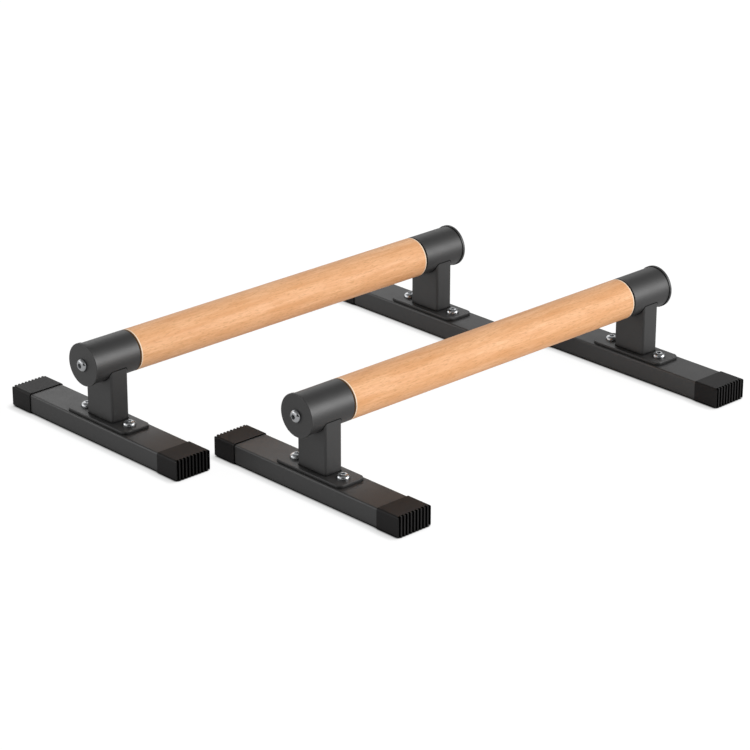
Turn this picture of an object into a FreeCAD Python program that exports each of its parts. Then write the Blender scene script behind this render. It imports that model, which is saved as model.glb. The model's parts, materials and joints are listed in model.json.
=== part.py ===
import FreeCAD, Part
import math
import operator
import os
from types import SimpleNamespace

import Sketcher

# A matched pair of low parallette bars. Each bar is a beech grip held in two steel sleeves, and each sleeve
# stands on a post, a base plate and a foot with rubber caps. The grips run along X, the feet along Y, and the
# floor is at Z 0. The origin lies on the floor, in the middle of the pair.

SIZES = {
    # Layout of the pair
    "bar_length": 537.0,  # between the outer faces of a bar's two end caps
    "axis_height": 90.5,  # from the floor to the middle of the grip
    "bar_distance": 251.5,  # across the bars, from grip to grip
    "bar_stagger": 71.4,  # how far the left bar stands in front of the right one
    # Sleeves, with the grip turned flush with them
    "sleeve_diameter": 45.0,
    "sleeve_wall": 2.0,
    "sleeve_length": 56.0,
    "sleeve_edge": 0.5,
    "tenon_clearance": 0.2,
    "shoulder_gap": 1.0,  # left between a sleeve and the grip, so that the wood can swell
    "shoulder_bevel": 0.9,
    # End caps
    "flange_thickness": 3.0,
    "flange_overhang": 0.9,
    "flange_round": 0.6,
    "spigot_depth": 6.0,
    "spigot_wall": 2.0,
    "spigot_clearance": 0.2,
    "boss_wall": 3.0,
    # Button-head screws, the same at the end caps and on the base plates
    "thread_diameter": 8.0,
    "thread_clearance": 0.1,
    "hole_clearance": 0.4,
    "head_diameter": 14.0,
    "head_height": 4.4,
    "head_edge": 0.6,
    "socket_flats": 5.0,
    "socket_depth": 2.6,
    "tip_chamfer": 1.0,
    # Threaded inserts in the grip
    "insert_wall": 2.0,
    "insert_length": 20.0,
    "insert_clearance": 0.1,
    "insert_reserve": 5.0,  # thread left free past the tip of the screw
    "pilot_relief": 2.0,
    # Posts
    "post_inset": 1.5,  # how far a post's sides stand inside the sleeve's
    "post_depth": 22.7,
    "post_wall": 1.5,
    "post_bore_corner": 1.0,
    "weld_leg": 1.5,
    # Base plates with their bolts and nuts
    "plate_length": 98.0,
    "plate_width": 36.0,
    "plate_thickness": 3.0,
    "plate_corner": 7.0,
    "plate_edge": 0.5,
    "bolt_spacing": 70.0,
    "nut_flats": 13.0,
    "nut_height": 6.5,
    "bolt_reserve": 2.0,  # thread that stands out below the nut
    # Feet
    "foot_length": 268.0,
    "foot_width": 43.0,
    "foot_height": 21.0,
    "foot_wall": 1.5,
    "foot_bore_corner": 0.5,
    # Rubber foot caps
    "cap_length": 31.0,
    "cap_wall": 0.9,
    "cap_end": 4.0,
    "cap_corner": 2.5,
    "cap_edge": 0.6,
    "cap_clearance": 0.1,
    "groove_pitch": 4.5,
    "groove_width": 2.7,
    "groove_depth": 2.5,
    "groove_margin": 2.0,
}

SHEET = "Sizes"
QUARTER_TURN = math.pi / 2
SAME = 1e-6  # lengths closer than this are the same

# How a sketch numbers its axes, and the points of a line or an arc
HORIZONTAL_AXIS = -1
VERTICAL_AXIS = -2
START, END, CENTRE = range(1, 4)
ORIGIN_POINT = START  # of the horizontal axis

BAR_SIDES = {"right": 1, "left": -1}
BAR_ENDS = {"front": -1, "rear": 1}

UPRIGHT = FreeCAD.Rotation()
HALF_TURN = FreeCAD.Rotation(FreeCAD.Vector(0, 0, 1), 180)
FACE_TURNS = {"rear": UPRIGHT, "front": HALF_TURN}


class Size:
    """A length as the sheet expression that gives it, with its value for the first drawing of a sketch."""

    def __init__(self, text, value):
        self.text = text
        self.value = value

    def joined(self, symbol, work, other):
        if not isinstance(other, Size):
            other = Size(str(other), other)
        return Size(f"({self.text} {symbol} {other.text})", work(self.value, other.value))

    def __add__(self, other):
        return self.joined("+", operator.add, other)

    def __sub__(self, other):
        return self.joined("-", operator.sub, other)

    def __mul__(self, other):
        return self.joined("*", operator.mul, other)

    def __truediv__(self, other):
        return self.joined("/", operator.truediv, other)

    def __neg__(self):
        return self * -1


def whole_count(span, pitch):
    """How many copies at a pitch fit on a span, with one at each end."""
    steps = span / pitch
    return Size(f"(floor({steps.text}) + 1)", math.floor(steps.value) + 1)


def span_angle(half_chord, radius):
    """The angle, in degrees, that a chord spans round the middle of a circle."""
    ratio = half_chord / radius
    return Size(f"(2 * asin({ratio.text}))", 2 * math.degrees(math.asin(ratio.value)))


def make_sheet(document):
    """Write the driving sizes into a sheet and return them as named sizes."""
    sheet = document.addObject("Spreadsheet::Sheet", SHEET)
    sizes = SimpleNamespace()
    for row, (name, number) in enumerate(SIZES.items(), start=1):
        sheet.set(f"A{row}", name)
        sheet.set(f"B{row}", str(number))
        sheet.setAlias(f"B{row}", name)
        setattr(sizes, name, Size(f"{SHEET}.{name}", number))
    document.recompute()
    return sizes


doc = FreeCAD.newDocument("ParallettePair")
size = make_sheet(doc)

# Radii
sleeve_radius = size.sleeve_diameter / 2
sleeve_bore = sleeve_radius - size.sleeve_wall
tenon_radius = sleeve_bore - size.tenon_clearance
spigot_radius = sleeve_bore - size.spigot_clearance
flange_radius = sleeve_radius + size.flange_overhang
thread_radius = size.thread_diameter / 2
tapped_radius = thread_radius + size.thread_clearance
hole_radius = thread_radius + size.hole_clearance
insert_radius = tapped_radius + size.insert_wall
pilot_radius = insert_radius + size.insert_clearance

# Places along a bar, from its middle
sleeve_end = size.bar_length / 2 - size.flange_thickness
end_middle = sleeve_end - size.sleeve_length / 2
shoulder = sleeve_end - size.sleeve_length - size.shoulder_gap
tenon_end = sleeve_end - size.spigot_depth
end_screw_length = size.bar_length / 2 - tenon_end + size.insert_length - size.insert_reserve

# Heights above the floor
foot_bottom = size.cap_wall + size.cap_clearance
foot_middle = foot_bottom + size.foot_height / 2
foot_top = foot_bottom + size.foot_height
plate_top = foot_top + size.plate_thickness
nut_top = foot_top - size.foot_wall
nut_bottom = nut_top - size.nut_height
base_bolt_length = plate_top - nut_bottom + size.bolt_reserve

# Posts, narrower than the sleeve, and the round corners of both rectangular tubes
post_width = size.sleeve_diameter - size.post_inset * 2
post_corner = size.post_bore_corner + size.post_wall
foot_corner = size.foot_bore_corner + size.foot_wall

# Foot caps
cap_bore_width = size.foot_width + size.cap_clearance * 2
cap_bore_height = size.foot_height + size.cap_clearance * 2
cap_width = cap_bore_width + size.cap_wall * 2
cap_height = cap_bore_height + size.cap_wall * 2
cap_face = size.foot_length / 2 + size.cap_end


def bind(item, name, value):
    """Tie one property of an object to a size."""
    item.setExpression(name, value.text)


def new_body(label, x, y, z=None, rotation=UPRIGHT):
    """Start a piece at a place that follows the sizes."""
    body = doc.addObject("PartDesign::Body", label)
    body.Label = label
    body.Placement = FreeCAD.Placement(FreeCAD.Vector(), rotation)
    bind(body, "Placement.Base.x", x)
    bind(body, "Placement.Base.y", y)
    if z is not None:
        bind(body, "Placement.Base.z", z)
    return body


def new_group(label, bodies):
    """Keep identical separate solids together in one node."""
    group = doc.addObject("Part::Compound", label)
    group.Label = label
    group.Links = bodies
    return group


def new_sketch(body, plane_role, offset=None):
    """Put a sketch on one of the body's origin planes, moved along the plane's normal."""
    sketch = body.newObject("Sketcher::SketchObject", "Sketch")
    plane = next(item for item in body.Origin.OriginFeatures if item.Role == plane_role)
    sketch.AttachmentSupport = [(plane, "")]
    sketch.MapMode = "FlatFace"
    if offset is not None:
        bind(sketch, "AttachmentOffset.Base.z", offset)
    return sketch


def dimension(sketch, constraint, value):
    """Add a dimension to a sketch and tie it to a size."""
    index = sketch.addConstraint(constraint)
    bind(sketch, f"Constraints[{index}]", value)


def fix_across(sketch, geometry, point, x):
    """Hold a point at a distance to the side of the sketch's origin. None means on the upright axis."""
    if x is None:
        sketch.addConstraint(Sketcher.Constraint("PointOnObject", geometry, point, VERTICAL_AXIS))
    elif x.value < 0:
        away = -x
        ends = (geometry, point, HORIZONTAL_AXIS, ORIGIN_POINT)
        dimension(sketch, Sketcher.Constraint("DistanceX", *ends, away.value), away)
    else:
        ends = (HORIZONTAL_AXIS, ORIGIN_POINT, geometry, point)
        dimension(sketch, Sketcher.Constraint("DistanceX", *ends, x.value), x)


def fix_along(sketch, geometry, point, y):
    """Hold a point at a distance above or below the sketch's origin. None means on the level axis."""
    if y is None:
        sketch.addConstraint(Sketcher.Constraint("PointOnObject", geometry, point, HORIZONTAL_AXIS))
    elif y.value < 0:
        away = -y
        ends = (geometry, point, HORIZONTAL_AXIS, ORIGIN_POINT)
        dimension(sketch, Sketcher.Constraint("DistanceY", *ends, away.value), away)
    else:
        ends = (HORIZONTAL_AXIS, ORIGIN_POINT, geometry, point)
        dimension(sketch, Sketcher.Constraint("DistanceY", *ends, y.value), y)


def sketch_vector(x, y):
    """The drawn place of a sketch point."""
    return FreeCAD.Vector(x.value if x else 0, y.value if y else 0, 0)


def draw_outline(sketch, points):
    """Draw a closed outline of straight lines through points held from the sketch's origin."""
    places = [sketch_vector(x, y) for x, y in points]
    lines = []
    for start, end in zip(places, places[1:] + places[:1]):
        lines.append(sketch.addGeometry(Part.LineSegment(start, end)))
    for line, following in zip(lines, lines[1:] + lines[:1]):
        sketch.addConstraint(Sketcher.Constraint("Coincident", line, END, following, START))
    for line, (x, y) in zip(lines, points):
        fix_across(sketch, line, START, x)
        fix_along(sketch, line, START, y)


def draw_circle(sketch, x, y, radius):
    """Draw a circle with its middle held from the sketch's origin."""
    round_line = Part.Circle(sketch_vector(x, y), FreeCAD.Vector(0, 0, 1), radius.value)
    circle = sketch.addGeometry(round_line)
    dimension(sketch, Sketcher.Constraint("Radius", circle, radius.value), radius)
    fix_across(sketch, circle, CENTRE, x)
    fix_along(sketch, circle, CENTRE, y)


def draw_rounded_rectangle(sketch, width, height, corner, middle=None):
    """Draw a rectangle with round corners, centred across the sketch, with its middle at a height."""
    half_width = width / 2
    top = height / 2
    bottom = -top
    if middle is not None:
        top = middle + top
        bottom = middle + bottom
    inner_x = half_width.value - corner.value
    inner_top = top.value - corner.value
    inner_bottom = bottom.value + corner.value
    corners = [(inner_x, inner_bottom), (inner_x, inner_top), (-inner_x, inner_top), (-inner_x, inner_bottom)]
    arcs = []
    for index, (x, y) in enumerate(corners):
        circle = Part.Circle(FreeCAD.Vector(x, y, 0), FreeCAD.Vector(0, 0, 1), corner.value)
        first = (index - 1) * QUARTER_TURN
        arcs.append(sketch.addGeometry(Part.ArcOfCircle(circle, first, first + QUARTER_TURN)))
    sides = []
    for arc, following in zip(arcs, arcs[1:] + arcs[:1]):
        line = Part.LineSegment(sketch.getPoint(arc, END), sketch.getPoint(following, START))
        side = sketch.addGeometry(line)
        sketch.addConstraint(Sketcher.Constraint("Tangent", arc, END, side, START))
        sketch.addConstraint(Sketcher.Constraint("Tangent", side, END, following, START))
        sides.append(side)
    for arc in arcs[1:]:
        sketch.addConstraint(Sketcher.Constraint("Equal", arcs[0], arc))
    dimension(sketch, Sketcher.Constraint("Radius", arcs[0], corner.value), corner)
    right_side, top_side, left_side, bottom_side = sides
    for side in (right_side, left_side):
        sketch.addConstraint(Sketcher.Constraint("Vertical", side))
    for side in (top_side, bottom_side):
        sketch.addConstraint(Sketcher.Constraint("Horizontal", side))
    fix_across(sketch, right_side, START, half_width)
    fix_across(sketch, left_side, START, -half_width)
    fix_along(sketch, top_side, START, top)
    fix_along(sketch, bottom_side, START, bottom)


def add_pad(body, sketch, length, side_type="One side", reverse=False):
    """Push a sketch out into a solid."""
    pad = body.newObject("PartDesign::Pad", "Pad")
    pad.Profile = sketch
    pad.SideType = side_type
    pad.Reversed = reverse
    bind(pad, "Length", length)


def add_pocket(body, sketch, side_type="One side", reverse=False, depth=None):
    """Cut a sketch out of the body, right through unless a depth is given, and see that it cuts."""
    doc.recompute()
    volume_before = body.Shape.Volume
    pocket = body.newObject("PartDesign::Pocket", "Pocket")
    pocket.Profile = sketch
    pocket.SideType = side_type
    pocket.Reversed = reverse
    if depth is None:
        pocket.Type = "ThroughAll"
    else:
        bind(pocket, "Length", depth)
    doc.recompute()
    if not body.Shape.Volume < volume_before:
        raise RuntimeError(f"a pocket cuts nothing from {body.Label}")
    return pocket


def add_revolution(body, sketch, axis):
    """Turn a half section round one of its sketch's axes."""
    revolution = body.newObject("PartDesign::Revolution", "Revolution")
    revolution.Profile = sketch
    revolution.ReferenceAxis = (sketch, [axis])
    return revolution


def add_edge_finish(body, kind, amount_name, amount, picks):
    """Round or chamfer the edges of the body that a test picks out."""
    doc.recompute()
    base = body.Tip
    names = [f"Edge{index}" for index, edge in enumerate(base.Shape.Edges, start=1) if picks(edge)]
    if not names:
        raise RuntimeError(f"no edge of {body.Label} was picked")
    finish = body.newObject(f"PartDesign::{kind}", kind)
    finish.Base = (base, names)
    bind(finish, amount_name, amount)


def is_circle(edge, radius):
    """Whether an edge is a circle of a radius."""
    return edge.Curve.TypeId == "Part::GeomCircle" and abs(edge.Curve.Radius - radius.value) < SAME


def bar_middle(side):
    """The middle of a bar on the floor."""
    turn = BAR_SIDES[side]
    return size.bar_stagger / 2 * turn, -size.bar_distance / 2 * turn


def end_place(side, end):
    """The middle of one end of a bar on the floor, under the sleeve."""
    x, y = bar_middle(side)
    return x + end_middle * BAR_ENDS[end], y


def outward(end):
    """The turn that points an upright screw out of one end of a bar."""
    return FreeCAD.Rotation(FreeCAD.Vector(0, 1, 0), 90 * BAR_ENDS[end])


def make_grip(label, side):
    """A turned dowel with a tenon at each end, bevelled shoulders and a pilot bore for each insert."""
    body = new_body(label, *bar_middle(side), size.axis_height)
    sketch = new_sketch(body, "XZ_Plane")
    bore_end = tenon_end - size.insert_length - size.pilot_relief
    half = [
        (bore_end, None),
        (bore_end, pilot_radius),
        (tenon_end, pilot_radius),
        (tenon_end, tenon_radius),
        (shoulder, tenon_radius),
        (shoulder, sleeve_radius - size.shoulder_bevel),
        (shoulder - size.shoulder_bevel, sleeve_radius),
    ]
    other_half = [(-x, radius) for x, radius in reversed(half)]
    draw_outline(sketch, half + other_half)
    add_revolution(body, sketch, "H_Axis")
    return body


def make_sleeve(label, side, end):
    """A round tube with chamfered rims."""
    body = new_body(label, *end_place(side, end))
    sketch = new_sketch(body, "YZ_Plane")
    draw_circle(sketch, None, size.axis_height, sleeve_radius)
    draw_circle(sketch, None, size.axis_height, sleeve_bore)
    add_pad(body, sketch, size.sleeve_length, "Symmetric")
    add_edge_finish(body, "Chamfer", "Size", size.sleeve_edge, lambda edge: is_circle(edge, sleeve_radius))
    return body


def make_end_cap(label, side, end):
    """A flange that closes the sleeve, with a spigot ring inside it and a boss for the screw."""
    x, y = bar_middle(side)
    body = new_body(label, x + sleeve_end * BAR_ENDS[end], y, size.axis_height, outward(end))
    sketch = new_sketch(body, "XZ_Plane")
    depth = -size.spigot_depth
    boss_radius = hole_radius + size.boss_wall
    ring_bore = spigot_radius - size.spigot_wall
    draw_outline(sketch, [
        (hole_radius, size.flange_thickness),
        (flange_radius, size.flange_thickness),
        (flange_radius, None),
        (spigot_radius, None),
        (spigot_radius, depth),
        (ring_bore, depth),
        (ring_bore, None),
        (boss_radius, None),
        (boss_radius, depth),
        (hole_radius, depth),
    ])
    add_revolution(body, sketch, "V_Axis")

    def outer_rim(edge):
        return is_circle(edge, flange_radius) and edge.Curve.Center.z > SAME

    add_edge_finish(body, "Fillet", "Radius", size.flange_round, outer_rim)
    return body


def make_screw(label, length, x, y, z, rotation=UPRIGHT):
    """A button-head screw, head up, with a hexagon socket. Its seat under the head is at the place."""
    body = new_body(label, x, y, z, rotation)
    sketch = new_sketch(body, "XZ_Plane")
    head_radius = size.head_diameter / 2
    tip = -length
    draw_outline(sketch, [
        (None, size.head_height),
        (head_radius, size.head_height),
        (head_radius, None),
        (thread_radius, None),
        (thread_radius, tip + size.tip_chamfer),
        (thread_radius - size.tip_chamfer, tip),
        (None, tip),
    ])
    add_revolution(body, sketch, "V_Axis")

    def crown(edge):
        return is_circle(edge, head_radius) and edge.Curve.Center.z > SAME

    add_edge_finish(body, "Fillet", "Radius", size.head_height - size.head_edge, crown)
    socket = new_sketch(body, "XY_Plane", size.head_height)
    draw_outline(socket, hexagon(size.socket_flats))
    add_pocket(body, socket, depth=size.socket_depth)
    return body


def hexagon(flats):
    """The corners of a hexagon with a width across its flats, with a corner on the upright axis."""
    corner_radius = flats / math.sqrt(3)
    half_flats = flats / 2
    half_side = corner_radius / 2
    return [
        (None, corner_radius),
        (-half_flats, half_side),
        (-half_flats, -half_side),
        (None, -corner_radius),
        (half_flats, -half_side),
        (half_flats, half_side),
    ]


def make_end_screw(label, side, end):
    """The screw that draws an end cap, its sleeve and the grip together."""
    x, y = bar_middle(side)
    seat = x + size.bar_length / 2 * BAR_ENDS[end]
    return make_screw(label, end_screw_length, seat, y, size.axis_height, outward(end))


def make_insert(label, side, end):
    """A threaded bush in the end of the grip, flush with the tenon."""
    x, y = bar_middle(side)
    body = new_body(label, x + tenon_end * BAR_ENDS[end], y, size.axis_height, outward(end))
    sketch = new_sketch(body, "XY_Plane")
    draw_circle(sketch, None, None, insert_radius)
    draw_circle(sketch, None, None, tapped_radius)
    add_pad(body, sketch, size.insert_length, reverse=True)
    return body


def make_post(label, side, end):
    """A rectangular tube from the base plate up to the sleeve, coped round it."""
    body = new_body(label, *end_place(side, end))
    sketch = new_sketch(body, "XY_Plane", plate_top)
    draw_rounded_rectangle(sketch, size.post_depth, post_width, post_corner)
    bore_depth = size.post_depth - size.post_wall * 2
    bore_width = post_width - size.post_wall * 2
    draw_rounded_rectangle(sketch, bore_depth, bore_width, size.post_bore_corner)
    add_pad(body, sketch, size.axis_height - plate_top)
    cope = new_sketch(body, "YZ_Plane")
    draw_circle(cope, None, size.axis_height, sleeve_radius)
    add_pocket(body, cope, "Symmetric")
    return body


def make_foot_weld(label, side, end):
    """The bead round the bottom of a post, on the base plate."""
    body = new_body(label, *end_place(side, end))
    spread = size.weld_leg * 2
    wide = new_sketch(body, "XY_Plane", plate_top)
    wide_corner = post_corner + size.weld_leg
    draw_rounded_rectangle(wide, size.post_depth + spread, post_width + spread, wide_corner)
    narrow = new_sketch(body, "XY_Plane", plate_top + size.weld_leg)
    draw_rounded_rectangle(narrow, size.post_depth, post_width, post_corner)
    loft = body.newObject("PartDesign::AdditiveLoft", "Loft")
    loft.Profile = wide
    loft.Sections = [narrow]
    loft.Ruled = True
    add_pocket(body, narrow)
    return body


def make_saddle_weld(label, side, end, face):
    """The bead along the coped top of one broad face of a post, turned round the sleeve's middle."""
    x, y = end_place(side, end)
    body = new_body(label, x, y, size.axis_height, FACE_TURNS[face])
    sketch = new_sketch(body, "XZ_Plane")
    post_face = size.post_depth / 2
    bead_radius = sleeve_radius + size.weld_leg
    draw_outline(sketch, [
        (post_face, -sleeve_radius),
        (post_face + size.weld_leg, -sleeve_radius),
        (post_face, -bead_radius),
    ])
    bead = add_revolution(body, sketch, "H_Axis")
    bead.Midplane = True
    bind(bead, "Angle", span_angle(post_width / 2 - post_corner, bead_radius))
    return body


def make_base_plate(label, side, end):
    """A flat plate with round corners, an eased top edge and two bolt holes."""
    body = new_body(label, *end_place(side, end))
    sketch = new_sketch(body, "XY_Plane", foot_top)
    draw_rounded_rectangle(sketch, size.plate_width, size.plate_length, size.plate_corner)
    for y in bolt_places():
        draw_circle(sketch, None, y, hole_radius)
    add_pad(body, sketch, size.plate_thickness)

    def top_rim(edge):
        is_level = all(abs(vertex.Z - plate_top.value) < SAME for vertex in edge.Vertexes)
        return is_level and not is_circle(edge, hole_radius)

    add_edge_finish(body, "Fillet", "Radius", size.plate_edge, top_rim)
    return body


def bolt_places():
    """Where the bolts stand along a foot, from its middle."""
    return [-size.bolt_spacing / 2, size.bolt_spacing / 2]


def make_base_bolt(label, x, y):
    """A bolt through the base plate and the top of the foot."""
    return make_screw(label, base_bolt_length, x, y, plate_top)


def make_weld_nut(label, x, y):
    """A hexagon nut under the top wall of the foot."""
    body = new_body(label, x, y)
    sketch = new_sketch(body, "XY_Plane", nut_bottom)
    draw_outline(sketch, hexagon(size.nut_flats))
    draw_circle(sketch, None, None, tapped_radius)
    add_pad(body, sketch, size.nut_height)
    return body


def make_foot_tube(label, side, end):
    """A rectangular tube across the bar, with two bolt holes in its top wall."""
    body = new_body(label, *end_place(side, end))
    section = new_sketch(body, "XZ_Plane")
    draw_rounded_rectangle(section, size.foot_width, size.foot_height, foot_corner, foot_middle)
    bore_width = size.foot_width - size.foot_wall * 2
    bore_height = size.foot_height - size.foot_wall * 2
    draw_rounded_rectangle(section, bore_width, bore_height, size.foot_bore_corner, foot_middle)
    add_pad(body, section, size.foot_length, "Symmetric")
    holes = new_sketch(body, "XY_Plane", foot_middle)
    for y in bolt_places():
        draw_circle(holes, None, y, hole_radius)
    add_pocket(body, holes, reverse=True)
    return body


def make_foot_cap(label, side, end, rotation):
    """A rubber boot over one end of a foot, with upright grooves across its end face."""
    body = new_body(label, *end_place(side, end), rotation=rotation)
    block = new_sketch(body, "XZ_Plane", cap_face)
    draw_rounded_rectangle(block, cap_width, cap_height, size.cap_corner, foot_middle)
    add_pad(body, block, size.cap_length, reverse=True)

    def end_face(edge):
        return all(abs(vertex.Y + cap_face.value) < SAME for vertex in edge.Vertexes)

    add_edge_finish(body, "Fillet", "Radius", size.cap_edge, end_face)
    bore = new_sketch(body, "XZ_Plane", size.foot_length / 2)
    bore_corner = foot_corner + size.cap_clearance
    draw_rounded_rectangle(bore, cap_bore_width, cap_bore_height, bore_corner, foot_middle)
    add_pocket(body, bore)
    cut_grooves(body)
    return body


def cut_grooves(body):
    """Cut a row of upright grooves across the end face of a foot cap."""
    count = whole_count(cap_width - size.groove_margin * 2, size.groove_pitch)
    row = (count - 1) * size.groove_pitch
    middle = -row / 2
    mouth = size.groove_width / 2
    outline = new_sketch(body, "XY_Plane")
    draw_outline(outline, [
        (middle - mouth, -cap_face),
        (middle + mouth, -cap_face),
        (middle + mouth, size.groove_depth - cap_face),
        (middle - mouth, size.groove_depth - cap_face),
    ])
    groove = add_pocket(body, outline, reverse=True)
    pattern = body.newObject("PartDesign::LinearPattern", "Grooves")
    pattern.Originals = [groove]
    pattern.Direction = (outline, ["H_Axis"])
    bind(pattern, "Length", row)
    bind(pattern, "Occurrences", count)
    body.Tip = pattern


def make_end(side, end):
    """The single pieces of one end of a bar."""
    start = f"{side}_{end}"
    return [
        make_sleeve(f"{start}_sleeve", side, end),
        make_end_cap(f"{start}_end_cap", side, end),
        make_post(f"{start}_post", side, end),
        make_base_plate(f"{start}_base_plate", side, end),
        make_foot_tube(f"{start}_foot_tube", side, end),
        make_foot_cap(f"{start}_right_foot_cap", side, end, UPRIGHT),
        make_foot_cap(f"{start}_left_foot_cap", side, end, HALF_TURN),
    ]


def make_base_group(label, make_one, side):
    """A node of four identical fasteners, two on each foot of a bar."""
    bodies = []
    for end in BAR_ENDS:
        x, y = end_place(side, end)
        for along in bolt_places():
            bodies.append(make_one(f"{label}_{len(bodies) + 1}", x, y + along))
    return new_group(label, bodies)


def make_end_group(label, make_one, side):
    """A node of two identical pieces, one at each end of a bar."""
    bodies = [make_one(f"{label}_{end}", side, end) for end in BAR_ENDS]
    return new_group(label, bodies)


def make_weld_group(label, side):
    """A node of all the weld beads of a bar, three at each post."""
    bodies = []
    for end in BAR_ENDS:
        bodies.append(make_foot_weld(f"{label}_{end}_foot", side, end))
        for face in FACE_TURNS:
            bodies.append(make_saddle_weld(f"{label}_{end}_saddle_{face}", side, end, face))
    return new_group(label, bodies)


def make_bar(side):
    """All nodes of one bar."""
    nodes = [make_grip(f"{side}_grip", side)]
    for end in BAR_ENDS:
        nodes += make_end(side, end)
    nodes += [
        make_end_group(f"{side}_end_screws", make_end_screw, side),
        make_end_group(f"{side}_thread_inserts", make_insert, side),
        make_weld_group(f"{side}_post_welds", side),
        make_base_group(f"{side}_base_bolts", make_base_bolt, side),
        make_base_group(f"{side}_weld_nuts", make_weld_nut, side),
    ]
    return nodes


def check(nodes):
    """Stop if any object failed or any node's shape isn't a sound set of solids."""
    for item in doc.Objects:
        if "Invalid" in item.State or "Error" in item.State:
            raise RuntimeError(f"{item.Label} failed: {item.State}")
    for node in nodes:
        shape = node.Shape
        if shape.isNull() or not shape.isValid() or not shape.Solids:
            raise RuntimeError(f"{node.Label} has no sound shape")


def main():
    nodes = []
    for side in BAR_SIDES:
        nodes += make_bar(side)
    doc.recompute()
    check(nodes)
    os.makedirs("parts", exist_ok=True)
    for node in nodes:
        node.Shape.exportStep(f"parts/{node.Label}.step")


main()
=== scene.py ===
import json
import math

import bpy
from mathutils import Euler, Matrix, Vector


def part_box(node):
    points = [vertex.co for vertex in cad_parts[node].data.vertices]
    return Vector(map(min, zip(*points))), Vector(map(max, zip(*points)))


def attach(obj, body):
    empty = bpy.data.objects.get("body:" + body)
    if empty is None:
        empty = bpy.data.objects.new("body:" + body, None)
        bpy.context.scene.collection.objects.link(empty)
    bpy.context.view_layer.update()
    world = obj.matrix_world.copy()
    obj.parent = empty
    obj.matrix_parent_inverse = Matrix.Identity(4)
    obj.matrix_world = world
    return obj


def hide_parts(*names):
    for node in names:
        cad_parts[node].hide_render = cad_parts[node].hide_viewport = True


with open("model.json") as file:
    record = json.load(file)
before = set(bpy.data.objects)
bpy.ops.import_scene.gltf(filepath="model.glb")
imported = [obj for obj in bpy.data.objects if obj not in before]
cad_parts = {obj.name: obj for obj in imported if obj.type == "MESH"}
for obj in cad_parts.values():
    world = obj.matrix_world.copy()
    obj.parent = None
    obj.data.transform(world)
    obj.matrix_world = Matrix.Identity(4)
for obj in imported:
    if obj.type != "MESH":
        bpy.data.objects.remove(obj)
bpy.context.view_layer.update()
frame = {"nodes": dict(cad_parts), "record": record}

MM = 0.001

# The camera, at the photograph's angle
CAMERA_PLACE = (-2.03549, -2.14432, 1.24608)
CAMERA_BEARING = 43.422  # degrees from +Y towards +X
CAMERA_TILT = 22.336  # degrees below level
CAMERA_ROLL = 0.074  # degrees
CAMERA_LENS = 141.9  # mm
CAMERA_SENSOR = 36.0  # mm

# The floor
FLOOR_SIZE = 14.0
FLOOR_COLOUR = "#d8d8d8"
FLOOR_GLOW = 1.12
GLOW_TO_EYE = 0.85  # share of the glow in what the eye sees of the floor
GLOW_TO_MIRROR = 0.2  # the same share in what a shiny surface mirrors
CORE_SHADOW = 6 * MM  # reach of the dark line under what stands on the floor
SIDE_SHADOW = 12 * MM  # reach of the soft shadow on the side away from the light
SIDE_SHADOW_LEVEL = 0.68  # brightness of the floor where that shadow is darkest
SHADOW_LIGHT = {"X": 0.75, "Y": -0.25, "Z": 0.61}  # where the light that casts it comes from

# The room
WHITE = "#ffffff"
WALL_LEVEL = 1.18
CEILING_COLOUR = "#7c7c7c"
CEILING_START = 0.45  # sine of the angle above level where the white wall ends
CEILING_FULL = 0.8
DARK_SIDE_COLOUR = "#2c2c2c"
# Where the room has no lamps: the direction, and the cosines where the dark starts and is full
DARK_SIDES = (
    ((-0.69, -0.72, 0.0), 0.6, 0.9),
    ((0.94, 0.34, 0.0), 0.76, 0.92),
)
ROOM_LIGHT = 0.56
LAMP_AIM = (0.0, 0.0, 0.06)

# Weld beads
POST_CORNER = 2.5 * MM
POST_CORNER_STEPS = 6
STRAY = POST_CORNER / 100  # the most that a straight side of a post strays from its axis
FOOT_BEAD = 0.9 * MM
SLEEVE_BEAD = 0.7 * MM
BEAD_ROUNDNESS = 2  # extra points in each half of a bead's section, on top of its first four
BEAD_RING = 4 + 2 * BEAD_ROUNDNESS
RIPPLE_PITCH = 1.8 * MM
RIPPLE_DEPTH = 0.22 * MM
# Painted shadow: the beads are nearly black, to stand for the shade in each joint
SEAM_SHADOW_DARK = "#080808"
SEAM_SHADOW_LIGHT = "#1c1b1b"

# Beech, with its patterns along the grips. Real flecks are finer: these are drawn coarser, to be seen.
FIGURE_LENGTH = 75 * MM
FIGURE_WIDTH = 7 * MM
GRAIN_LENGTH = 28 * MM
GRAIN_WIDTH = 1.8 * MM
FLECK_LENGTH = 6 * MM
FLECK_WIDTH = 0.9 * MM
PORE_DEPTH = 0.04 * MM
DOWEL_CHANGE = 0.03  # how much darker the right dowel is than the mean of both, as a share of the figure
HALF_STAGGER = 35.7 * MM  # how far each bar's middle stands along X from the middle of the pair
EASED_START = 206.1 * MM  # from a bar's middle to where the wood is sanded thin of varnish
EASED_FULL = 206.7 * MM
BEECH_PALE = "#fbc494"
BEECH_DEEP = "#eaab76"
BEECH_STREAK = "#e3a46c"
BEECH_FLECK = "#c98d58"
BEECH_SANDED = "#ffecd4"
# Dark end grain, partly real and partly painted shade for the gap at each sleeve
BEECH_END_GRAIN_AND_SHADE = "#80603f"

# Powder coat
PEEL_SIZE = 1.1 * MM
PEEL_HEIGHT = 0.03 * MM
MOTTLE_SIZE = 14 * MM
CREASE_SHADE_REACH = 5 * MM  # how far from an inside corner the painted shade reaches
CREASE_SHADE_START = 3 * MM  # height above the floor where the painted shade starts, because the floor makes no such corner
CREASE_SHADE_FULL = 8 * MM
COAT_DARK = "#222222"
COAT_LIGHT = "#282727"
# Painted shade: the colour that the coat darkens to in its inside corners
COAT_CREASE_SHADE = "#0e0e0e"

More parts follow.
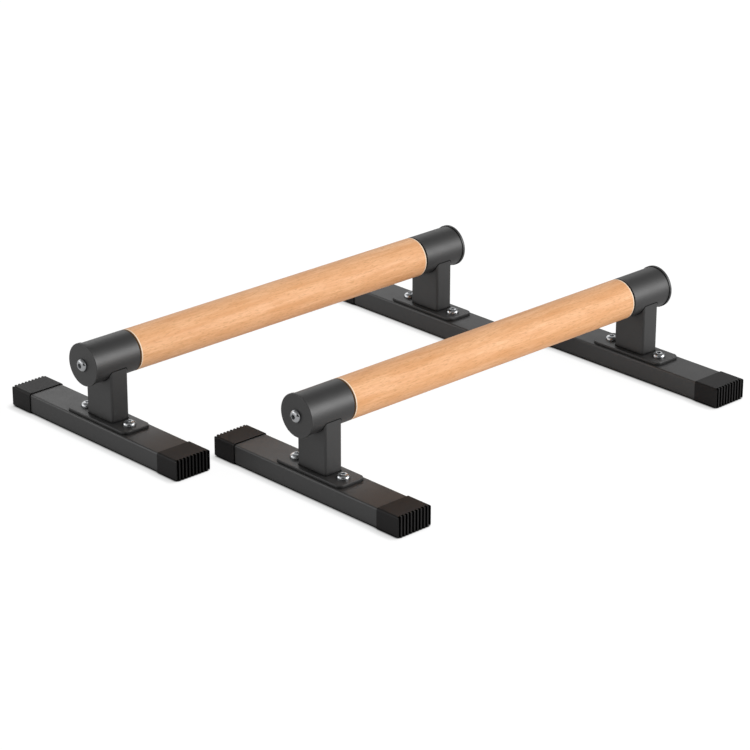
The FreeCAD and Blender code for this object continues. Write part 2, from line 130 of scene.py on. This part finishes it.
# Zinc plate, whose real grain is finer: it is drawn coarser, to be seen
PLATING_GRIT = 0.8 * MM
ZINC_DARK = "#a6a7a9"
ZINC_LIGHT = "#c2c4c6"

# Rubber, whose real grit is finer: it is drawn coarser, to be seen
RUBBER_GRIT = 0.6 * MM
RUBBER_RELIEF = 0.05 * MM
RUBBER_GLOSS = 0.2
BLOOM_SIZE = 18 * MM
GROOVE_SHADE = 3 * MM  # reach of the painted shade that turns the rubber black in its grooves and next to other surfaces
RUBBER_DARK = "#121010"
RUBBER_LIGHT = "#191717"
# Painted shade: the near-black that the rubber turns in its grooves and next to other surfaces
RUBBER_GROOVE_SHADE = "#020202"

# Inputs and outputs of a colour mix, which share their names with those of other kinds of mix
MIX_FACTOR = 0
MIX_FIRST = 6
MIX_SECOND = 7
MIX_RESULT = 2


def linear(hex_colour):
    """An sRGB hex colour as linear red, green, blue and a full alpha."""
    channels = [int(hex_colour[place:place + 2], 16) / 255 for place in (1, 3, 5)]
    bright = [
        ((channel + 0.055) / 1.055) ** 2.4 if channel > 0.04045 else channel / 12.92
        for channel in channels
    ]
    return (*bright, 1.0)


def add_node(tree, kind, inputs, **settings):
    """Add a node with its settings. Each input takes a plain value or a link from a socket."""
    node = tree.nodes.new(kind)
    for name, setting in settings.items():
        setattr(node, name, setting)
    for name, value in inputs.items():
        if isinstance(value, bpy.types.NodeSocket):
            tree.links.new(value, node.inputs[name])
        else:
            node.inputs[name].default_value = value
    return node


def new_material(name):
    """An empty material, with its tree and the place that it reads patterns from."""
    material = bpy.data.materials.new(name)
    material.use_nodes = True
    tree = material.node_tree
    tree.nodes.clear()
    place = add_node(tree, "ShaderNodeTexCoord", {}).outputs["Object"]
    return material, tree, place


def finish_material(tree, surface):
    """Send a surface to the material's output."""
    add_node(tree, "ShaderNodeOutputMaterial", {"Surface": surface.outputs[0]})


def beech():
    """Turned beech under satin varnish: warm, with short flecks, pale sanded edges, and dark end grain that
    is also painted shade in the gap at each sleeve.
    """
    material, tree, place = new_material("beech")

    def along(length, width):
        """The place, stretched so that a pattern of size 1 gets this length and width."""
        scale = (1 / length, 1 / width, 1 / width)
        stretched = add_node(tree, "ShaderNodeMapping", {"Vector": place, "Scale": scale})
        return stretched.outputs["Vector"]

    figure = add_node(tree, "ShaderNodeTexNoise", {
        "Vector": along(FIGURE_LENGTH, FIGURE_WIDTH),
        "Scale": 1.0,
        "Detail": 3.0,
        "Roughness": 0.55,
        "Distortion": 0.4,
    })
    grain = add_node(tree, "ShaderNodeTexNoise", {
        "Vector": along(GRAIN_LENGTH, GRAIN_WIDTH), "Scale": 1.0, "Detail": 4.0, "Roughness": 0.6})
    flecks = add_node(tree, "ShaderNodeTexNoise", {
        "Vector": along(FLECK_LENGTH, FLECK_WIDTH), "Scale": 1.0, "Detail": 1.0})

    # The sign of Y tells the left bar, 1, from the right one, -1
    parts = add_node(tree, "ShaderNodeSeparateXYZ", {"Vector": place})
    side = add_node(tree, "ShaderNodeMath", {0: parts.outputs["Y"]}, operation="SIGN")
    dowel = add_node(tree, "ShaderNodeMath", {
        0: side.outputs["Value"],
        1: -DOWEL_CHANGE,
        2: figure.outputs["Fac"],
    }, operation="MULTIPLY_ADD")

    figure_share = add_node(tree, "ShaderNodeMapRange", {
        "Value": dowel.outputs["Value"], "From Min": 0.37, "From Max": 0.7})
    grain_share = add_node(tree, "ShaderNodeMapRange", {
        "Value": grain.outputs["Fac"], "From Min": 0.36, "From Max": 0.72, "To Max": 0.6})
    fleck_share = add_node(tree, "ShaderNodeMapRange", {
        "Value": flecks.outputs["Fac"], "From Min": 0.55, "From Max": 0.7, "To Max": 0.45})
    tone = add_node(tree, "ShaderNodeMix", {
        MIX_FACTOR: figure_share.outputs["Result"],
        MIX_FIRST: linear(BEECH_PALE),
        MIX_SECOND: linear(BEECH_DEEP),
    }, data_type="RGBA")
    streaked = add_node(tree, "ShaderNodeMix", {
        MIX_FACTOR: grain_share.outputs["Result"],
        MIX_FIRST: tone.outputs[MIX_RESULT],
        MIX_SECOND: linear(BEECH_STREAK),
    }, data_type="RGBA")
    flecked = add_node(tree, "ShaderNodeMix", {
        MIX_FACTOR: fleck_share.outputs["Result"],
        MIX_FIRST: streaked.outputs[MIX_RESULT],
        MIX_SECOND: linear(BEECH_FLECK),
    }, data_type="RGBA")

    # A pale, sanded band at each end of the grip
    from_middle = add_node(tree, "ShaderNodeMath", {
        0: side.outputs["Value"],
        1: HALF_STAGGER,
        2: parts.outputs["X"],
    }, operation="MULTIPLY_ADD")
    distance = add_node(tree, "ShaderNodeMath", {
        0: from_middle.outputs["Value"]}, operation="ABSOLUTE")
    eased_share = add_node(tree, "ShaderNodeMapRange", {
        "Value": distance.outputs["Value"],
        "From Min": EASED_START,
        "From Max": EASED_FULL,
        "To Max": 0.9,
    })
    eased = add_node(tree, "ShaderNodeMix", {
        MIX_FACTOR: eased_share.outputs["Result"],
        MIX_FIRST: flecked.outputs[MIX_RESULT],
        MIX_SECOND: linear(BEECH_SANDED),
    }, data_type="RGBA")

    # Dark end grain on what faces along the grip, which is also painted shade in the gap between grip and
    # sleeve
    facing = add_node(tree, "ShaderNodeTexCoord", {}).outputs["Normal"]
    lengthwise = add_node(tree, "ShaderNodeSeparateXYZ", {"Vector": facing})
    steepness = add_node(tree, "ShaderNodeMath", {
        0: lengthwise.outputs["X"]}, operation="ABSOLUTE")
    end_share = add_node(tree, "ShaderNodeMapRange", {
        "Value": steepness.outputs["Value"], "From Min": 0.4, "From Max": 0.6})
    ended = add_node(tree, "ShaderNodeMix", {
        MIX_FACTOR: end_share.outputs["Result"],
        MIX_FIRST: eased.outputs[MIX_RESULT],
        MIX_SECOND: linear(BEECH_END_GRAIN_AND_SHADE),
    }, data_type="RGBA")

    pores = add_node(tree, "ShaderNodeBump", {
        "Height": fleck_share.outputs["Result"],
        "Strength": 0.5,
        "Distance": PORE_DEPTH,
    }, invert=True)
    roughness = add_node(tree, "ShaderNodeMapRange", {
        "Value": grain.outputs["Fac"], "To Min": 0.42, "To Max": 0.56})
    surface = add_node(tree, "ShaderNodeBsdfPrincipled", {
        "Base Color": ended.outputs[MIX_RESULT],
        "Roughness": roughness.outputs["Result"],
        "Normal": pores.outputs["Normal"],
        "IOR": 1.5,
        "Specular IOR Level": 0.3,
    })
    finish_material(tree, surface)
    return material


def powder_coated_steel():
    """Mild steel under charcoal powder coat: a satin skin with a faint orange peel, and painted shade in
    its inside corners.
    """
    material, tree, place = new_material("powder_coated_steel")
    peel = add_node(tree, "ShaderNodeTexNoise", {
        "Vector": place, "Scale": 1 / PEEL_SIZE, "Detail": 2.0})
    mottle = add_node(tree, "ShaderNodeTexNoise", {
        "Vector": place, "Scale": 1 / MOTTLE_SIZE, "Detail": 3.0})
    tone = add_node(tree, "ShaderNodeMix", {
        MIX_FACTOR: mottle.outputs["Fac"],
        MIX_FIRST: linear(COAT_DARK),
        MIX_SECOND: linear(COAT_LIGHT),
    }, data_type="RGBA")
    roughness = add_node(tree, "ShaderNodeMapRange", {
        "Value": mottle.outputs["Fac"], "To Min": 0.45, "To Max": 0.52})
    # Painted shade: near an inside corner the coat is darkened and made less glossy
    corner = add_node(tree, "ShaderNodeAmbientOcclusion", {"Distance": CREASE_SHADE_REACH}, samples=8)
    height = add_node(tree, "ShaderNodeSeparateXYZ", {"Vector": place}).outputs["Z"]
    floor_share = add_node(tree, "ShaderNodeMapRange", {
        "Value": height,
        "From Min": CREASE_SHADE_START,
        "From Max": CREASE_SHADE_FULL,
        "To Min": 1.0,
        "To Max": 0.0,
    })
    clear = add_node(tree, "ShaderNodeMath", {
        0: corner.outputs["AO"], 1: floor_share.outputs["Result"]}, operation="MAXIMUM")
    openness = add_node(tree, "ShaderNodeMapRange", {
        "Value": clear.outputs["Value"], "From Min": 0.45, "From Max": 0.85})
    shaded = add_node(tree, "ShaderNodeMix", {
        MIX_FACTOR: openness.outputs["Result"],
        MIX_FIRST: linear(COAT_CREASE_SHADE),
        MIX_SECOND: tone.outputs[MIX_RESULT],
    }, data_type="RGBA")
    gloss = add_node(tree, "ShaderNodeMapRange", {
        "Value": openness.outputs["Result"], "To Min": 0.3, "To Max": 0.78})
    skin = add_node(tree, "ShaderNodeBump", {
        "Height": peel.outputs["Fac"], "Strength": 0.35, "Distance": PEEL_HEIGHT})
    surface = add_node(tree, "ShaderNodeBsdfPrincipled", {
        "Base Color": shaded.outputs[MIX_RESULT],
        "Roughness": roughness.outputs["Result"],
        "Normal": skin.outputs["Normal"],
        "IOR": 1.5,
        "Specular IOR Level": gloss.outputs["Result"],
    })
    finish_material(tree, surface)
    return material


def painted_shadow_seam():
    """Nearly black beads: a painted shadow in the joints of each post with its sleeve and its plate."""
    material, tree, place = new_material("painted_shadow_seam")
    shadow_mottle = add_node(tree, "ShaderNodeTexNoise", {
        "Vector": place, "Scale": 1 / RIPPLE_PITCH, "Detail": 2.0})
    tone = add_node(tree, "ShaderNodeMix", {
        MIX_FACTOR: shadow_mottle.outputs["Fac"],
        MIX_FIRST: linear(SEAM_SHADOW_DARK),
        MIX_SECOND: linear(SEAM_SHADOW_LIGHT),
    }, data_type="RGBA")
    surface = add_node(tree, "ShaderNodeBsdfPrincipled", {
        "Base Color": tone.outputs[MIX_RESULT],
        "Roughness": 0.7,
        "Specular IOR Level": 0.15,
    })
    finish_material(tree, surface)
    return material


def zinc_plated_steel():
    """Bright zinc plate on cold-headed steel: a grey mirror, dulled a little by the plating's grain."""
    material, tree, place = new_material("zinc_plated_steel")
    grit = add_node(tree, "ShaderNodeTexNoise", {
        "Vector": place, "Scale": 1 / PLATING_GRIT, "Detail": 3.0})
    tone = add_node(tree, "ShaderNodeMix", {
        MIX_FACTOR: grit.outputs["Fac"],
        MIX_FIRST: linear(ZINC_DARK),
        MIX_SECOND: linear(ZINC_LIGHT),
    }, data_type="RGBA")
    roughness = add_node(tree, "ShaderNodeMapRange", {
        "Value": grit.outputs["Fac"], "To Min": 0.12, "To Max": 0.22})
    surface = add_node(tree, "ShaderNodeBsdfPrincipled", {
        "Base Color": tone.outputs[MIX_RESULT],
        "Metallic": 1.0,
        "Roughness": roughness.outputs["Result"],
    })
    finish_material(tree, surface)
    return material


def black_rubber():
    """Moulded black rubber: nearly no gloss, with the grit of its mould, and painted shade in its grooves
    and next to other surfaces.
    """
    material, tree, place = new_material("black_rubber")
    grit = add_node(tree, "ShaderNodeTexNoise", {
        "Vector": place, "Scale": 1 / RUBBER_GRIT, "Detail": 2.0})
    bloom = add_node(tree, "ShaderNodeTexNoise", {
        "Vector": place, "Scale": 1 / BLOOM_SIZE, "Detail": 3.0})
    tone = add_node(tree, "ShaderNodeMix", {
        MIX_FACTOR: bloom.outputs["Fac"],
        MIX_FIRST: linear(RUBBER_DARK),
        MIX_SECOND: linear(RUBBER_LIGHT),
    }, data_type="RGBA")
    # Painted shade: the rubber goes black and loses its gloss where other surfaces stand close
    opening = add_node(tree, "ShaderNodeAmbientOcclusion", {"Distance": GROOVE_SHADE}, samples=16)
    openness = add_node(tree, "ShaderNodeMapRange", {
        "Value": opening.outputs["AO"], "From Min": 0.5, "From Max": 0.9})
    shaded = add_node(tree, "ShaderNodeMix", {
        MIX_FACTOR: openness.outputs["Result"],
        MIX_FIRST: linear(RUBBER_GROOVE_SHADE),
        MIX_SECOND: tone.outputs[MIX_RESULT],
    }, data_type="RGBA")
    gloss = add_node(tree, "ShaderNodeMath", {
        0: openness.outputs["Result"], 1: RUBBER_GLOSS}, operation="MULTIPLY")
    skin = add_node(tree, "ShaderNodeBump", {
        "Height": grit.outputs["Fac"], "Strength": 0.4, "Distance": RUBBER_RELIEF})
    roughness = add_node(tree, "ShaderNodeMapRange", {
        "Value": grit.outputs["Fac"], "To Min": 0.44, "To Max": 0.56})
    surface = add_node(tree, "ShaderNodeBsdfPrincipled", {
        "Base Color": shaded.outputs[MIX_RESULT],
        "Roughness": roughness.outputs["Result"],
        "Normal": skin.outputs["Normal"],
        "IOR": 1.52,
        "Specular IOR Level": gloss.outputs["Value"],
    })
    finish_material(tree, surface)
    return material


def seen_in_mirror(path):
    """1 for what a glossy or clear surface shows of its surroundings, and 0 otherwise."""
    seen = add_node(path.id_data, "ShaderNodeMath", {
        0: path.outputs["Is Glossy Ray"],
        1: path.outputs["Is Transmission Ray"],
    }, operation="MAXIMUM")
    return seen.outputs["Value"]


def white_paper():
    """Seamless white paper: white to the eye, with a shadow where the object touches it."""
    material, tree, _ = new_material("white_paper")
    paper = add_node(tree, "ShaderNodeBsdfDiffuse", {"Color": linear(FLOOR_COLOUR)})
    core = add_node(tree, "ShaderNodeAmbientOcclusion", {"Distance": CORE_SHADOW}, samples=16)
    light = add_node(tree, "ShaderNodeCombineXYZ", SHADOW_LIGHT)
    side = add_node(tree, "ShaderNodeAmbientOcclusion", {
        "Distance": SIDE_SHADOW, "Normal": light.outputs["Vector"]}, samples=16)
    core_level = add_node(tree, "ShaderNodeMapRange", {
        "Value": core.outputs["AO"], "From Min": 0.38, "From Max": 0.7})
    side_level = add_node(tree, "ShaderNodeMapRange", {
        "Value": side.outputs["AO"],
        "From Min": 0.46,
        "From Max": 0.89,
        "To Min": SIDE_SHADOW_LEVEL,
    })
    level = add_node(tree, "ShaderNodeMath", {
        0: core_level.outputs["Result"],
        1: side_level.outputs["Result"],
    }, operation="MULTIPLY")
    strength = add_node(tree, "ShaderNodeMath", {
        0: level.outputs["Value"], 1: FLOOR_GLOW}, operation="MULTIPLY")
    glow = add_node(tree, "ShaderNodeEmission", {"Strength": strength.outputs["Value"]})
    path = add_node(tree, "ShaderNodeLightPath", {})
    to_mirror = add_node(tree, "ShaderNodeMath", {
        0: seen_in_mirror(path), 1: GLOW_TO_MIRROR}, operation="MULTIPLY")
    share = add_node(tree, "ShaderNodeMath", {
        0: path.outputs["Is Camera Ray"],
        1: GLOW_TO_EYE,
        2: to_mirror.outputs["Value"],
    }, operation="MULTIPLY_ADD")
    mixed = add_node(tree, "ShaderNodeMixShader", {
        0: share.outputs["Value"], 1: paper.outputs["BSDF"], 2: glow.outputs["Emission"]})
    finish_material(tree, mixed)
    return material


def add_floor():
    """A wide floor of white paper, which is no part of the object."""
    bpy.ops.object.select_all(action="DESELECT")
    bpy.ops.mesh.primitive_plane_add(size=FLOOR_SIZE)
    floor = bpy.context.object
    floor.name = "studio_floor"
    floor.data.materials.append(white_paper())


def add_sky():
    """A white room with a grey ceiling and two unlit sides, which is plain white to the eye."""
    world = bpy.data.worlds.new("studio")
    bpy.context.scene.world = world
    world.use_nodes = True
    tree = world.node_tree
    tree.nodes.clear()
    direction = add_node(tree, "ShaderNodeTexCoord", {}).outputs["Generated"]
    height = add_node(tree, "ShaderNodeSeparateXYZ", {"Vector": direction}).outputs["Z"]
    ceiling_share = add_node(tree, "ShaderNodeMapRange", {
        "Value": height,
        "From Min": CEILING_START,
        "From Max": CEILING_FULL,
    }, interpolation_type="SMOOTHSTEP")
    sides = add_node(tree, "ShaderNodeMix", {
        MIX_FACTOR: ceiling_share.outputs["Result"],
        MIX_FIRST: linear(WHITE),
        MIX_SECOND: linear(CEILING_COLOUR),
    }, data_type="RGBA")
    for dark, start, full in DARK_SIDES:
        towards = add_node(tree, "ShaderNodeVectorMath", {
            0: direction, 1: dark}, operation="DOT_PRODUCT")
        share = add_node(tree, "ShaderNodeMapRange", {
            "Value": towards.outputs["Value"],
            "From Min": start,
            "From Max": full,
        }, interpolation_type="SMOOTHSTEP")
        sides = add_node(tree, "ShaderNodeMix", {
            MIX_FACTOR: share.outputs["Result"],
            MIX_FIRST: sides.outputs[MIX_RESULT],
            MIX_SECOND: linear(DARK_SIDE_COLOUR),
        }, data_type="RGBA")
    path = add_node(tree, "ShaderNodeLightPath", {})
    light = add_node(tree, "ShaderNodeBackground", {
        "Color": linear(WHITE), "Strength": ROOM_LIGHT})
    room = add_node(tree, "ShaderNodeBackground", {
        "Color": sides.outputs[MIX_RESULT], "Strength": WALL_LEVEL})
    backdrop = add_node(tree, "ShaderNodeBackground", {"Color": linear(WHITE)})
    lit = add_node(tree, "ShaderNodeMixShader", {
        0: seen_in_mirror(path),
        1: light.outputs["Background"],
        2: room.outputs["Background"],
    })
    mixed = add_node(tree, "ShaderNodeMixShader", {
        0: path.outputs["Is Camera Ray"],
        1: lit.outputs["Shader"],
        2: backdrop.outputs["Background"],
    })
    add_node(tree, "ShaderNodeOutputWorld", {"Surface": mixed.outputs["Shader"]})


def add_lamp(name, bearing, elevation, distance, width, height, level):
    """A soft box that faces the object. At level 1, a surface square to it is as bright as its colour."""
    turn = math.radians(bearing)
    rise = math.radians(elevation)
    flat = distance * math.cos(rise)
    away = Vector((flat * math.sin(turn), -flat * math.cos(turn), distance * math.sin(rise)))
    lamp = bpy.data.lights.new(name, "AREA")
    lamp.shape = "RECTANGLE"
    lamp.size = width
    lamp.size_y = height
    lamp.energy = level * (math.pi * distance) ** 2
    holder = bpy.data.objects.new(name, lamp)
    bpy.context.scene.collection.objects.link(holder)
    holder.location = Vector(LAMP_AIM) + away
    holder.rotation_euler = (-away).to_track_quat("-Z", "Y").to_euler()


def add_camera():
    """The camera that took the photograph, as far as its edges tell."""
    camera = bpy.data.cameras.new("camera")
    camera.lens = CAMERA_LENS
    camera.sensor_width = CAMERA_SENSOR
    holder = bpy.data.objects.new("camera", camera)
    bpy.context.scene.collection.objects.link(holder)
    from_straight_down = math.radians(90 - CAMERA_TILT)
    turn = Euler((from_straight_down, 0, math.radians(-CAMERA_BEARING))).to_matrix().to_4x4()
    roll = Matrix.Rotation(math.radians(CAMERA_ROLL), 4, "Z")
    holder.matrix_world = Matrix.Translation(CAMERA_PLACE) @ turn @ roll
    bpy.context.scene.camera = holder


def divide_sides(loop, axis):
    """Divide the straight sides of a loop that run along one axis into half ripples."""
    bpy.ops.mesh.select_mode(type="EDGE")
    bpy.ops.mesh.select_all(action="DESELECT")
    bpy.ops.object.mode_set(mode="OBJECT")
    points = loop.data.vertices
    length = 0
    for edge in loop.data.edges:
        start, end = (points[index].co for index in edge.vertices)
        run = end - start
        edge.select = abs(run[axis]) > RIPPLE_PITCH and abs(run[1 - axis]) < STRAY
        if edge.select:
            length = run.length
    bpy.ops.object.mode_set(mode="EDIT")
    bpy.ops.mesh.subdivide(number_cuts=round(2 * length / RIPPLE_PITCH) - 1)


def add_post_outline(post):
    """The outline of a post as a loop of short edges, level with its bottom."""
    low, high = (Vector(corner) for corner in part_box(post))
    spread = high - low
    middle = (low + high) / 2
    bpy.ops.object.select_all(action="DESELECT")
    bpy.ops.mesh.primitive_plane_add(size=1, location=(middle.x, middle.y, low.z))
    loop = bpy.context.object
    bpy.ops.transform.resize(value=(spread.x, spread.y, 1))
    bpy.ops.object.transform_apply(location=True, rotation=True, scale=True)
    bpy.ops.object.mode_set(mode="EDIT")
    bpy.ops.mesh.select_all(action="SELECT")
    bpy.ops.mesh.bevel(offset=POST_CORNER, affect="VERTICES", segments=POST_CORNER_STEPS)
    bpy.ops.mesh.delete(type="ONLY_FACE")
    for axis in (0, 1):
        divide_sides(loop, axis)
    bpy.ops.object.mode_set(mode="OBJECT")
    return loop


def press_onto_sleeve(loop, sleeve):
    """Send a loop straight up until it lies on the underside of a sleeve."""
    press = loop.modifiers.new("press", "SHRINKWRAP")
    press.target = frame["nodes"][sleeve]
    press.wrap_method = "PROJECT"
    press.use_project_z = True
    bpy.ops.object.modifier_apply(modifier=press.name)


def lay_bead(loop, radius):
    """Turn a loop into a welded bead, with a ripple at every second ring."""
    bpy.ops.object.convert(target="CURVE")
    loop = bpy.context.object
    loop.data.bevel_depth = radius
    loop.data.bevel_resolution = BEAD_ROUNDNESS
    bpy.ops.object.convert(target="MESH")
    loop = bpy.context.object
    bpy.ops.object.mode_set(mode="EDIT")
    bpy.ops.mesh.select_mode(type="VERT")
    bpy.ops.mesh.select_all(action="DESELECT")
    bpy.ops.object.mode_set(mode="OBJECT")
    for point in loop.data.vertices:
        point.select = point.index // BEAD_RING % 2 == 1
    bpy.ops.object.mode_set(mode="EDIT")
    bpy.ops.transform.shrink_fatten(value=-RIPPLE_DEPTH)
    bpy.ops.mesh.select_all(action="SELECT")
    bpy.ops.mesh.normals_make_consistent(inside=False)
    bpy.ops.object.mode_set(mode="OBJECT")
    smooth = loop.modifiers.new("smooth", "SUBSURF")
    smooth.levels = 1
    smooth.render_levels = 1
    bpy.ops.object.modifier_apply(modifier=smooth.name)
    bpy.ops.object.shade_smooth()
    return loop


def add_weld_beads(side, finish):
    """The beads of one bar: round the foot of each post, and round its coped top under the sleeve."""
    beads = []
    for end in ("front", "rear"):
        post = f"{side}_{end}_post"
        beads.append(lay_bead(add_post_outline(post), FOOT_BEAD))
        loop = add_post_outline(post)
        press_onto_sleeve(loop, f"{side}_{end}_sleeve")
        beads.append(lay_bead(loop, SLEEVE_BEAD))
    bpy.ops.object.select_all(action="DESELECT")
    for bead in beads:
        bead.select_set(True)
    bpy.context.view_layer.objects.active = beads[0]
    bpy.ops.object.join()
    piece = bpy.context.object
    piece.name = f"{side}_weld_beads"
    piece.data.materials.clear()
    piece.data.materials.append(finish)
    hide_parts(f"{side}_post_welds")
    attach(piece, f"{side}_bar")


def dress_nodes(finishes):
    """Give every CAD node the finish that its slot in the record names."""
    for subpart in frame["record"]["subparts"]:
        node = frame["nodes"][subpart["node"]]
        for place in node.material_slots:
            place.material = finishes[subpart["material_slot"]]


slot_finishes = (beech, powder_coated_steel, zinc_plated_steel, black_rubber)
dress_nodes({make.__name__: make() for make in slot_finishes})
# The beads take the painted shadow of the joints as their colour
seam = painted_shadow_seam()
for side in ("right", "left"):
    add_weld_beads(side, seam)
add_floor()
add_sky()
add_lamp("side_box", bearing=29, elevation=18, distance=8.0, width=5.3, height=3.9, level=0.615)
add_lamp("back_box", bearing=136, elevation=24, distance=8.0, width=5.0, height=2.5, level=0.06)
add_lamp("left_box", bearing=226, elevation=16, distance=7.0, width=2.4, height=1.6, level=0.075)
add_camera()
bpy.context.scene.view_settings.view_transform = "Standard"
